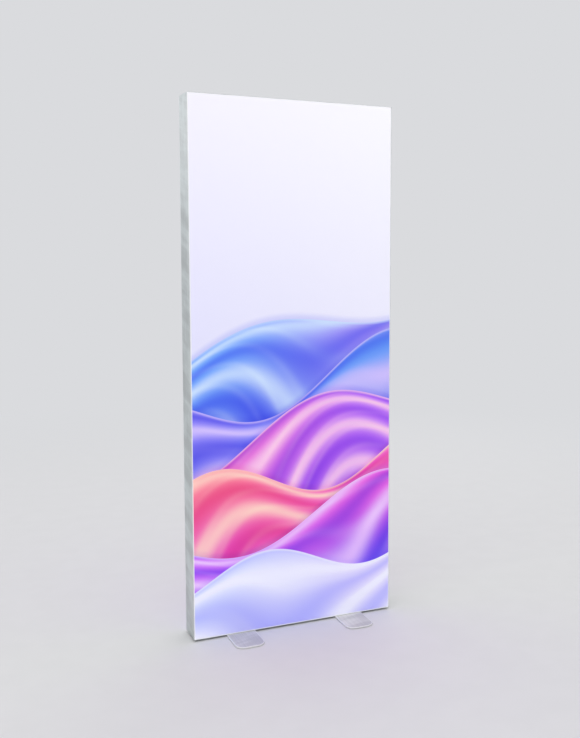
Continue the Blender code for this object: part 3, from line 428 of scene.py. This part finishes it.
def brushed_metal(name, colour, along, roughness=0.36, contrast=0.08, metallic=1.0):
    """Metal brushed along one axis (0, 1 or 2), with cloudy patches, slanting smears and fine lines."""
    shading = Shading(name, roughness, metallic)
    line_scale = along_axis(along, brush_lines / brush_stretch, brush_lines)
    fine = shading.noise(shading.stretched(line_scale), detail=5.0, roughness=0.65)
    cloud_scale = along_axis(along, 1 / cloud_length, 1 / cloud_pitch)
    clouds = shading.noise(shading.stretched(cloud_scale), detail=4.0, roughness=0.55)
    smear_scale = along_axis(along, 1 / smear_pitch, 1 / smear_width)
    smear_turn = along_axis(along, 0, smear_slope)
    smears = shading.noise(shading.stretched(smear_scale, smear_turn), detail=3.0, roughness=0.5)
    cloudy = shading.math("MULTIPLY", clouds, cloud_share)
    patches = shading.math("MULTIPLY_ADD", smears, smear_share, cloudy)
    tone = shading.range(patches, *patch_range, 1 - contrast, 1 + contrast)
    lines = shading.range(fine, *brush_range, 1 - brush_contrast, 1 + brush_contrast)
    tone = shading.math("MULTIPLY", tone, lines)
    grey = shading.add("ShaderNodeCombineColor", {0: tone, 1: tone, 2: tone}).outputs[0]
    base = shading.mix(1.0, linear(*colour), grey, "MULTIPLY")
    shading.set("Base Color", base)
    glossy, dull = (roughness + change for change in brush_roughness_change)
    shading.set("Roughness", shading.range(smears, *common_range, glossy, dull))
    shading.bump(fine, brush_depth, brush_strength)
    return shading, base


def profile_aluminium(name, along):
    """Anodised aluminium, with a painted highlight on the lips along the front and rear edges."""
    shading, base = brushed_metal(name, profile_colour, along, roughness=0.42, contrast=0.15)
    y = shading.math("ABSOLUTE", shading.axes()[1])
    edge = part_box("upright_left")[1].y
    start = edge - profile_highlight_width
    # Painted highlight: the band nearest the front and rear faces is mixed towards near-white
    lip_highlight = shading.range(y, start, start + profile_highlight_width / 2, 0.0, profile_highlight_share)
    shading.set("Base Color", shading.mix(lip_highlight, base, linear(*profile_highlight_colour)))
    return shading.material


def plain_surface(name, colour, roughness, metallic=0.0, grain=180, variation=0.06):
    """Moulded, cast or coated: a little variation of tone and gloss, and a fine grain."""
    shading = Shading(name, roughness, metallic)
    grains = shading.noise(shading.place, scale=grain * grain_ratio, detail=3.0)
    patches = shading.noise(shading.place, scale=grain * patch_ratio, detail=3.0)
    dark = tuple(value * (1 - variation) for value in linear(*colour)[:3]) + (1,)
    light = tuple(min(1, value * (1 + variation)) for value in linear(*colour)[:3]) + (1,)
    shading.set("Base Color", shading.mix(shading.range(patches, *common_range), dark, light))
    glossy, dull = (roughness + change for change in grain_roughness_change)
    shading.set("Roughness", shading.range(grains, *common_range, glossy, dull))
    shading.bump(grains, grain_depth, grain_strength)
    return shading


def clear_plastic(name):
    """Clear, with a little uneven gloss."""
    shading = Shading(name, clear_roughness[0])
    smears = shading.noise(shading.place, scale=clear_smears, detail=2.0)
    shading.set("Roughness", shading.range(smears, *common_range, *clear_roughness))
    shading.set("Base Color", linear(*clear_colour))
    shading.set("Transmission Weight", clear_transmission)
    shading.set("IOR", clear_index)
    return shading.material


def glowing_phosphor(name):
    shading = plain_surface(name, phosphor_colour, 0.4, grain=400, variation=0.04)
    shading.set("Emission Color", linear(*led_colour))
    shading.set("Emission Strength", led_glow)
    return shading.material


def foot_steel(name):
    """Silver-grey coated plate with brushed patches, and a painted highlight along its rounded rim."""
    shading, base = brushed_metal(name, foot_colour, 1, roughness=0.44, contrast=0.15, metallic=0.2)
    x, y, _ = shading.axes()
    low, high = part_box("foot_plate_right")
    middle = (low + high) / 2
    half = (high - low) / 2
    beside = shading.math("ABSOLUTE", shading.math("SUBTRACT", shading.math("ABSOLUTE", x), middle.x))
    across = shading.math("SUBTRACT", beside, half.x - foot_corner_radius)
    along = shading.math("SUBTRACT", shading.math("ABSOLUTE", y), half.y - foot_corner_radius)
    corner = [shading.math("MAXIMUM", value, 0.0) for value in (across, along)]
    square = [shading.math("MULTIPLY", value, value) for value in corner]
    outside = shading.math("SQRT", shading.math("ADD", *square))
    inside = shading.math("MINIMUM", shading.math("MAXIMUM", across, along), 0.0)
    reach = shading.math("ADD", outside, inside)
    # Painted highlight: the band along the plate's rounded outline is mixed towards near-white
    start = foot_corner_radius - foot_rim_highlight_width
    rim = shading.range(reach, start, start + foot_rim_highlight_width / 2, 0.0, foot_rim_highlight_share)
    shading.set("Base Color", shading.mix(rim, base, linear(*foot_rim_highlight_colour)))
    return shading.material


def make_materials():
    return {
        "upright": profile_aluminium("upright_aluminium", 2),
        "rail": profile_aluminium("rail_aluminium", 0),
        "bar": brushed_metal("bar_aluminium", (190, 194, 196), 0)[0].material,
        "foot": foot_steel("foot_plate_steel"),
        "steel": brushed_metal("fastener_steel", (188, 189, 190), 2, roughness=0.3)[0].material,
        "zinc": plain_surface("cast_zinc", (158, 160, 163), 0.5, 0.9, grain=260, variation=0.1).material,
        "case": brushed_metal("supply_case", (176, 179, 182), 2, roughness=0.42)[0].material,
        "board": plain_surface("board_white", (236, 238, 233), 0.45, grain=300).material,
        "circuit": plain_surface("circuit_green", (30, 110, 62), 0.4, grain=300, variation=0.15).material,
        "black": plain_surface("moulded_black", (38, 38, 40), 0.42, grain=260, variation=0.1).material,
        "nylon": plain_surface("moulded_grey_nylon", (128, 131, 134), 0.5, grain=240).material,
        "silicone": plain_surface("silicone", (228, 230, 233), 0.38, grain=200, variation=0.03).material,
        "cable_black": plain_surface("cable_sheath_black", (32, 32, 34), 0.5, grain=240).material,
        "cable_white": plain_surface("cable_sheath_white", (232, 232, 228), 0.45, grain=240).material,
        "contact": brushed_metal("contact_metal", (212, 202, 170), 0, 0.25, contrast=0.05)[0].material,
        "rubber": plain_surface("pad_rubber", (44, 44, 45), 0.85, grain=300, variation=0.15).material,
        "lens": clear_plastic("lens_clear"),
        "fuse": clear_plastic("fuse_glass_clear"),
        "phosphor": glowing_phosphor("led_phosphor"),
        "mark": plain_surface("mark_white", (235, 235, 235), 0.5).material,
    }


node_materials = {
    "upright": ("upright_left", "upright_right"),
    "rail": ("top_rail", "bottom_rail"),
    "bar": ("crossbar", "led_carrier_top", "led_carrier_bottom"),
    "zinc": tuple(f"corner_connector_{z}_{x}" for z in ("top", "bottom") for x in ("left", "right")),
    "steel": (
        *(f"corner_lock_{z}_{x}" for z in ("top", "bottom") for x in ("left", "right")),
        "crossbar_screw_left",
        "crossbar_screw_right",
        "inlet_screw_upper",
        "inlet_screw_lower",
        "foot_anchor_left",
        "foot_anchor_right",
        "foot_bolt_left",
        "foot_bolt_right",
    ),
    "foot": ("foot_plate_left", "foot_plate_right"),
    "case": ("power_supply_case",),
    "board": ("led_board_top", "led_board_bottom"),
    "circuit": ("power_supply_board",),
    "black": (
        "inlet_housing",
        "power_rocker",
        "fuse_drawer",
        "power_supply_end_cap_lower",
        "power_supply_end_cap_upper",
    ),
    "nylon": (
        "crossbar_bracket_left",
        "crossbar_bracket_right",
        "power_supply_clip_lower",
        "power_supply_clip_upper",
    ),
    "cable_black": ("mains_lead",),
    "cable_white": ("led_lead_top", "led_lead_bottom"),
    "contact": ("inlet_contacts",),
    "rubber": tuple(f"foot_pad_{x}_{y}" for x in ("left", "right") for y in ("front", "rear")),
    "lens": ("led_lens_strip_top", "led_lens_strip_bottom"),
    "fuse": ("fuse",),
}


def dress_nodes(materials):
    for key, names in node_materials.items():
        for name in names:
            slots = frame["nodes"][name].data.materials
            slots.clear()
            slots.append(materials[key])


def body_of(node):
    """The body that a node of the frame rides on."""
    return next(body for body, nodes in frame["record"]["behaviour"]["bodies"].items() if node in nodes)


def add_piece(name, bm, material, body, smooth_angle=made_smooth_angle):
    """Turns a bmesh into a piece that rides on a body."""
    bmesh.ops.recalc_face_normals(bm, faces=bm.faces[:])
    mesh = bpy.data.meshes.new(name)
    bm.to_mesh(mesh)
    bm.free()
    mesh.materials.append(material)
    mesh.shade_smooth()
    mesh.set_sharp_from_angle(angle=smooth_angle)
    piece = bpy.data.objects.new(name, mesh)
    bpy.context.scene.collection.objects.link(piece)
    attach(piece, body)
    return piece


def softened_copy(node, material, radius, steps=2, shortest=0.0):
    """A node's shape in the node's place, with its edges rounded from the shortest length up."""
    bm = bmesh.new()
    bm.from_mesh(frame["nodes"][node].data)
    bmesh.ops.remove_doubles(bm, verts=bm.verts, dist=merge_distance)
    rounded = bm.edges.layers.float.new("bevel_weight_edge")
    for edge in bm.edges:
        sharp = edge.calc_face_angle(0.0) > sharp_edge_angle
        edge[rounded] = 1.0 if sharp and edge.calc_length() >= shortest else 0.0
    name = f"{node}_finished"
    piece = add_piece(name, bm, material, body_of(node), rounded_smooth_angle)
    bevel = piece.modifiers.new("rounded_edges", "BEVEL")
    bevel.width = radius
    bevel.segments = steps
    bevel.limit_method = "WEIGHT"
    bevel.use_clamp_overlap = True
    bevel.miter_outer = "MITER_ARC"
    bevel.face_strength_mode = "FSTR_ALL"
    normals = piece.modifiers.new("flat_faces", "WEIGHTED_NORMAL")
    normals.use_face_influence = True
    normals.keep_sharp = True
    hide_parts(node)


def pucker(x, z, half_x, half_z, middle_z):
    """How far the fabric dips here: small ripples that the seam's pull leaves along the edges."""
    beside = half_x - abs(x)
    above = half_z - abs(z - middle_z)
    ripple_z = math.sin(math.tau * z / pucker_pitch) * math.exp(-beside / pucker_reach)
    ripple_x = math.sin(math.tau * x / pucker_pitch) * math.exp(-above / pucker_reach)
    fade = min(1.0, beside / pucker_reach, above / pucker_reach)
    return pucker_height * fade * (ripple_x + ripple_z + 2) / 2


def make_print(name, side):
    """A print stretched over its side of the frame and tucked into the groove around it."""
    node = f"{name}_graphic"
    low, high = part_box(node)
    surface = low.y if side < 0 else high.y
    deepest = high.y if side < 0 else low.y
    flat_x = high.x - fabric_edge_radius
    middle_z = (low.z + high.z) / 2
    flat_z = (high.z - low.z) / 2 - fabric_edge_radius
    bm = bmesh.new()
    rows = []
    for row in range(fabric_rows + 1):
        z = middle_z + flat_z * (2 * row / fabric_rows - 1)
        line = []
        for column in range(fabric_columns + 1):
            x = flat_x * (2 * column / fabric_columns - 1)
            dip = pucker(x, z, flat_x, flat_z, middle_z)
            line.append(bm.verts.new((x, surface - side * dip, z)))
        rows.append(line)
    for lower, upper in zip(rows, rows[1:]):
        for a, b, c, d in zip(lower, lower[1:], upper[1:], upper):
            bm.faces.new((a, b, c, d))
    right = [row[-1] for row in rows[1:-1]]
    left = [row[0] for row in rows[-2:0:-1]]
    edge = rows[0] + right + rows[-1][::-1] + left
    for out, back in edge_path(abs(deepest - surface)):
        fresh = []
        for corner in edge:
            x, _, z = corner.co
            x = moved_out(x, flat_x, out)
            z = middle_z + moved_out(z - middle_z, flat_z, out)
            fresh.append(bm.verts.new((x, surface - side * back, z)))
        edge = join_loops(bm, edge, fresh)
    fabric = print_fabric(f"{name}_print_fabric", low, high, side)
    sheet = add_piece(f"{name}_print_cloth", bm, fabric, f"{name}_print")
    solid = sheet.modifiers.new("thickness", "SOLIDIFY")
    solid.thickness = fabric_thickness
    solid.offset = -1
    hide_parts(node)
    return sheet, low, high


def edge_path(depth):
    """How far out and back each loop of the edge lies: round the lip, then down the groove."""
    path = []
    for step in range(1, fabric_edge_steps + 1):
        angle = math.pi / 2 * step / fabric_edge_steps
        path.append((fabric_edge_radius * math.sin(angle), fabric_edge_radius * (1 - math.cos(angle))))
    for step in range(1, fabric_skirt_steps + 1):
        share = step / fabric_skirt_steps
        path.append((fabric_edge_radius, fabric_edge_radius + share * (depth - fabric_edge_radius)))
    return path


def moved_out(place, flat, out):
    """A point on the flat face's rim stays in line with its neighbours and moves out at the rim only."""
    if place >= flat * rim_tolerance:
        return flat + out
    if place <= -flat * rim_tolerance:
        return -flat - out
    return place


def join_loops(bm, old, new):
    for i in range(len(old)):
        j = (i + 1) % len(old)
        bm.faces.new((old[i], old[j], new[j], new[i]))
    return new


def make_bead(node, material):
    """A silicone strip with rounded edges, and shallow ribs on the side that grips the groove."""
    low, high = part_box(node)
    size = high - low
    along = max(range(3), key=lambda axis: size[axis])
    thin = 0 if along == 2 else 2
    bm = bmesh.new()
    outline = bead_outline(size[thin], size.y)
    middle = (low + high) / 2
    inwards = -1 if middle[thin] > frame_middle[thin] else 1
    ends = []
    for end in (low[along], high[along]):
        ring = []
        for t, depth in outline:
            point = Vector((0, middle.y + depth, 0))
            point[thin] = middle[thin] + inwards * t
            point[along] = end
            ring.append(bm.verts.new(point))
        ends.append(ring)
    join_loops(bm, *ends)
    bm.faces.new(ends[0])
    bm.faces.new(ends[1])
    bead = add_piece(f"{node}_finished", bm, material, body_of(node))
    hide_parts(node)
    return bead


def bead_outline(thickness, width):
    """Thickness by width about the middle: rounded corners, and notches between the ribs of one side."""
    points = []
    for sign_t, sign_w, start in ((1, 1, 0), (-1, 1, 1), (-1, -1, 2), (1, -1, 3)):
        centre_t = sign_t * (thickness / 2 - bead_round)
        centre_w = sign_w * (width / 2 - bead_round)
        for step in range(bead_corner_steps + 1):
            angle = math.pi / 2 * (start + step / bead_corner_steps)
            across = centre_w + bead_round * math.sin(angle)
            points.append((centre_t + bead_round * math.cos(angle), across))
    pitch = (width - 2 * bead_round) / (bead_rib_count + 1)
    notches = []
    for rib in range(bead_rib_count):
        place = (rib + 1) * pitch - (width / 2 - bead_round)
        for offset, depth in ((-pitch / 4, 0), (0, bead_rib_depth), (pitch / 4, 0)):
            notches.append((thickness / 2 - depth, place + offset))
    return points + notches


def make_leds(position, materials):
    """The phosphor on each LED of a board."""
    low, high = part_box(f"led_board_{position}")
    facing = 1 if position == "bottom" else -1
    base = low.z if facing > 0 else high.z
    chip = base + facing * (led_board_thickness + led_height)
    middle = (low.x + high.x) / 2
    turn = Matrix.Rotation(0 if facing > 0 else math.pi, 4, "X")
    bm = bmesh.new()
    for i in range(led_count):
        x = middle + led_pitch * (i - (led_count - 1) / 2)
        place = Matrix.Translation((x, 0, chip + facing * phosphor_height / 2))
        bmesh.ops.create_cone(
            bm,
            cap_ends=True,
            segments=phosphor_sides,
            radius1=phosphor_radius,
            radius2=phosphor_radius * phosphor_taper,
            depth=phosphor_height,
            matrix=place @ turn,
        )
    add_piece(f"led_phosphor_{position}", bm, materials["phosphor"], "frame")


def make_rocker_marks(materials):
    """A bar on the rocker's upper half and a ring on its lower half."""
    turn = Matrix.Translation(rocker_pivot) @ Matrix.Rotation(rocker_rest_tilt, 4, "Y")
    out, up = rocker_face_centre
    for name, sign in (("on", 1), ("off", -1)):
        face = turn @ Matrix.Translation((out, 0, sign * up))
        face = face @ Matrix.Rotation(sign * rocker_face_slope, 4, "Y")
        face = face @ Matrix.Rotation(math.pi / 2, 4, "Y")
        bm = bmesh.new()
        if name == "on":
            size = Matrix.Diagonal((mark_size, mark_stroke, mark_height, 1))
            bmesh.ops.create_cube(bm, size=1, matrix=face @ size)
        else:
            ring_mark(bm, face)
        add_piece(f"rocker_mark_{name}", bm, materials["mark"], "rocker")


def ring_mark(bm, place):
    """A flat ring, square in section."""
    outer = mark_size / 2
    inner = outer - mark_stroke
    top = mark_height / 2
    angles = [math.tau * i / ring_sides for i in range(ring_sides)]
    rings = []
    for radius, level in ((outer, -top), (outer, top), (inner, top), (inner, -top)):
        points = [Vector((radius * math.cos(angle), radius * math.sin(angle), level)) for angle in angles]
        rings.append([bm.verts.new(place @ point) for point in points])
    for a, b in zip(rings, rings[1:] + rings[:1]):
        join_loops(bm, a, b)


def make_floor():
    """A pale floor that takes the background's colour towards its edge."""
    bm = bmesh.new()
    bmesh.ops.create_circle(bm, cap_ends=True, segments=floor_sides, radius=floor_radius)
    mesh = bpy.data.meshes.new("floor")
    bm.to_mesh(mesh)
    bm.free()
    shading = Shading("floor_pale", floor_roughness)
    grains = shading.noise(shading.place, scale=floor_grain, detail=4.0)
    light = linear(*floor_colour)
    dark = tuple(value * floor_dark_share for value in light[:3]) + (1,)
    shading.set("Base Color", shading.mix(shading.range(grains, *common_range), dark, light))
    shading.set("Specular IOR Level", floor_gloss)
    distance = shading.add("ShaderNodeVectorMath", {0: shading.place}, operation="LENGTH")
    far = shading.range(distance.outputs["Value"], floor_near_fade, floor_far_fade)
    seen = seen_ray(shading)
    glow = shading.add("ShaderNodeEmission", {"Color": linear(*background_colour), "Strength": 1.0})
    join = shading.add("ShaderNodeMixShader", {0: shading.math("MULTIPLY", far, seen)})
    shading.tree.links.new(shading.shader.outputs[0], join.inputs[1])
    shading.tree.links.new(glow.outputs[0], join.inputs[2])
    output = shading.tree.nodes["Material Output"]
    shading.tree.links.new(join.outputs[0], output.inputs["Surface"])
    mesh.materials.append(shading.material)
    floor = bpy.data.objects.new("floor", mesh)
    bpy.context.scene.collection.objects.link(floor)


def seen_ray(shading):
    """1 for rays from the camera, in reflections and through clear pieces."""
    path = shading.add("ShaderNodeLightPath").outputs
    shown = shading.math("MAXIMUM", path["Is Camera Ray"], path["Is Glossy Ray"])
    return shading.math("MAXIMUM", shown, path["Is Transmission Ray"])


def make_world():
    """Plain light all round; the camera, reflections and clear pieces show the background's colour."""
    world = bpy.data.worlds.new("studio")
    world.use_nodes = True
    bpy.context.scene.world = world
    tree = world.node_tree
    output = tree.nodes["World Output"]
    light = tree.nodes["Background"]
    light.inputs["Color"].default_value = (1, 1, 1, 1)
    light.inputs["Strength"].default_value = world_strength
    shown = tree.nodes.new("ShaderNodeBackground")
    shown.inputs["Color"].default_value = linear(*background_colour)
    path = tree.nodes.new("ShaderNodeLightPath")
    share = path.outputs["Is Camera Ray"]
    for name in ("Is Glossy Ray", "Is Transmission Ray"):
        most = tree.nodes.new("ShaderNodeMath")
        most.operation = "MAXIMUM"
        tree.links.new(share, most.inputs[0])
        tree.links.new(path.outputs[name], most.inputs[1])
        share = most.outputs[0]
    join = tree.nodes.new("ShaderNodeMixShader")
    tree.links.new(share, join.inputs[0])
    tree.links.new(light.outputs[0], join.inputs[1])
    tree.links.new(shown.outputs[0], join.inputs[2])
    tree.links.new(join.outputs[0], output.inputs["Surface"])


def make_lamp(lamp):
    """A soft lamp, as wide and high as its size says, that points from its place to its target."""
    light = bpy.data.lights.new(lamp.name, "AREA")
    light.shape = "RECTANGLE"
    light.size, light.size_y = lamp.size
    light.energy = lamp.power
    made = bpy.data.objects.new(lamp.name, light)
    made.location = lamp.place
    aim = Vector(lamp.target) - Vector(lamp.place)
    made.rotation_euler = aim.to_track_quat("-Z", "Y").to_euler()
    bpy.context.scene.collection.objects.link(made)


def make_lights():
    make_world()
    for lamp in lamps:
        make_lamp(lamp)


def make_camera():
    """A camera with the fitted place, direction, lens and shift."""
    yaw, pitch, roll = camera_yaw, camera_pitch, camera_roll
    forward = Vector((math.sin(yaw) * math.cos(pitch), math.cos(yaw) * math.cos(pitch), -math.sin(pitch)))
    level = Vector((math.cos(yaw), -math.sin(yaw), 0))
    upright = level.cross(forward)
    right = math.cos(roll) * level + math.sin(roll) * upright
    up = math.cos(roll) * upright - math.sin(roll) * level
    data = bpy.data.cameras.new("photo_camera")
    data.sensor_width = sensor_width_mm
    data.lens = focal_length_px / image_height * sensor_width_mm
    data.shift_x = (image_width / 2 - principal_point_px[0]) / image_height
    data.shift_y = (principal_point_px[1] - image_height / 2) / image_height
    camera = bpy.data.objects.new("photo_camera", data)
    turn = Matrix((right, up, -forward)).transposed().to_4x4()
    camera.matrix_world = Matrix.Translation(camera_place) @ turn
    bpy.context.scene.collection.objects.link(camera)
    bpy.context.scene.camera = camera


def make_prints(materials):
    for name, side in (("front", -1), ("rear", 1)):
        sheet, low, high = make_print(name, side)
        places = ("left", "right", "top", "bottom")
        beads = [make_bead(f"{name}_bead_{place}", materials["silicone"]) for place in places]


def make_finished_edges(materials):
    for node in ("upright_left", "upright_right"):
        softened_copy(node, materials["upright"], profile_edge_radius, shortest=shortest_rounded_edge)
    for node in ("top_rail", "bottom_rail"):
        softened_copy(node, materials["rail"], profile_edge_radius, shortest=shortest_rounded_edge)
    for node in ("foot_plate_left", "foot_plate_right"):
        softened_copy(node, materials["foot"], plate_edge_radius, steps=3)
    for node in ("inlet_housing", "power_rocker", "fuse_drawer"):
        softened_copy(node, materials["black"], plastic_edge_radius)


def main():
    bpy.context.scene.view_settings.view_transform = "Standard"
    make_camera()
    make_lights()
    make_floor()
    materials = make_materials()
    dress_nodes(materials)
    make_finished_edges(materials)
    make_prints(materials)
    make_leds("top", materials)
    make_leds("bottom", materials)
    make_rocker_marks(materials)


main()
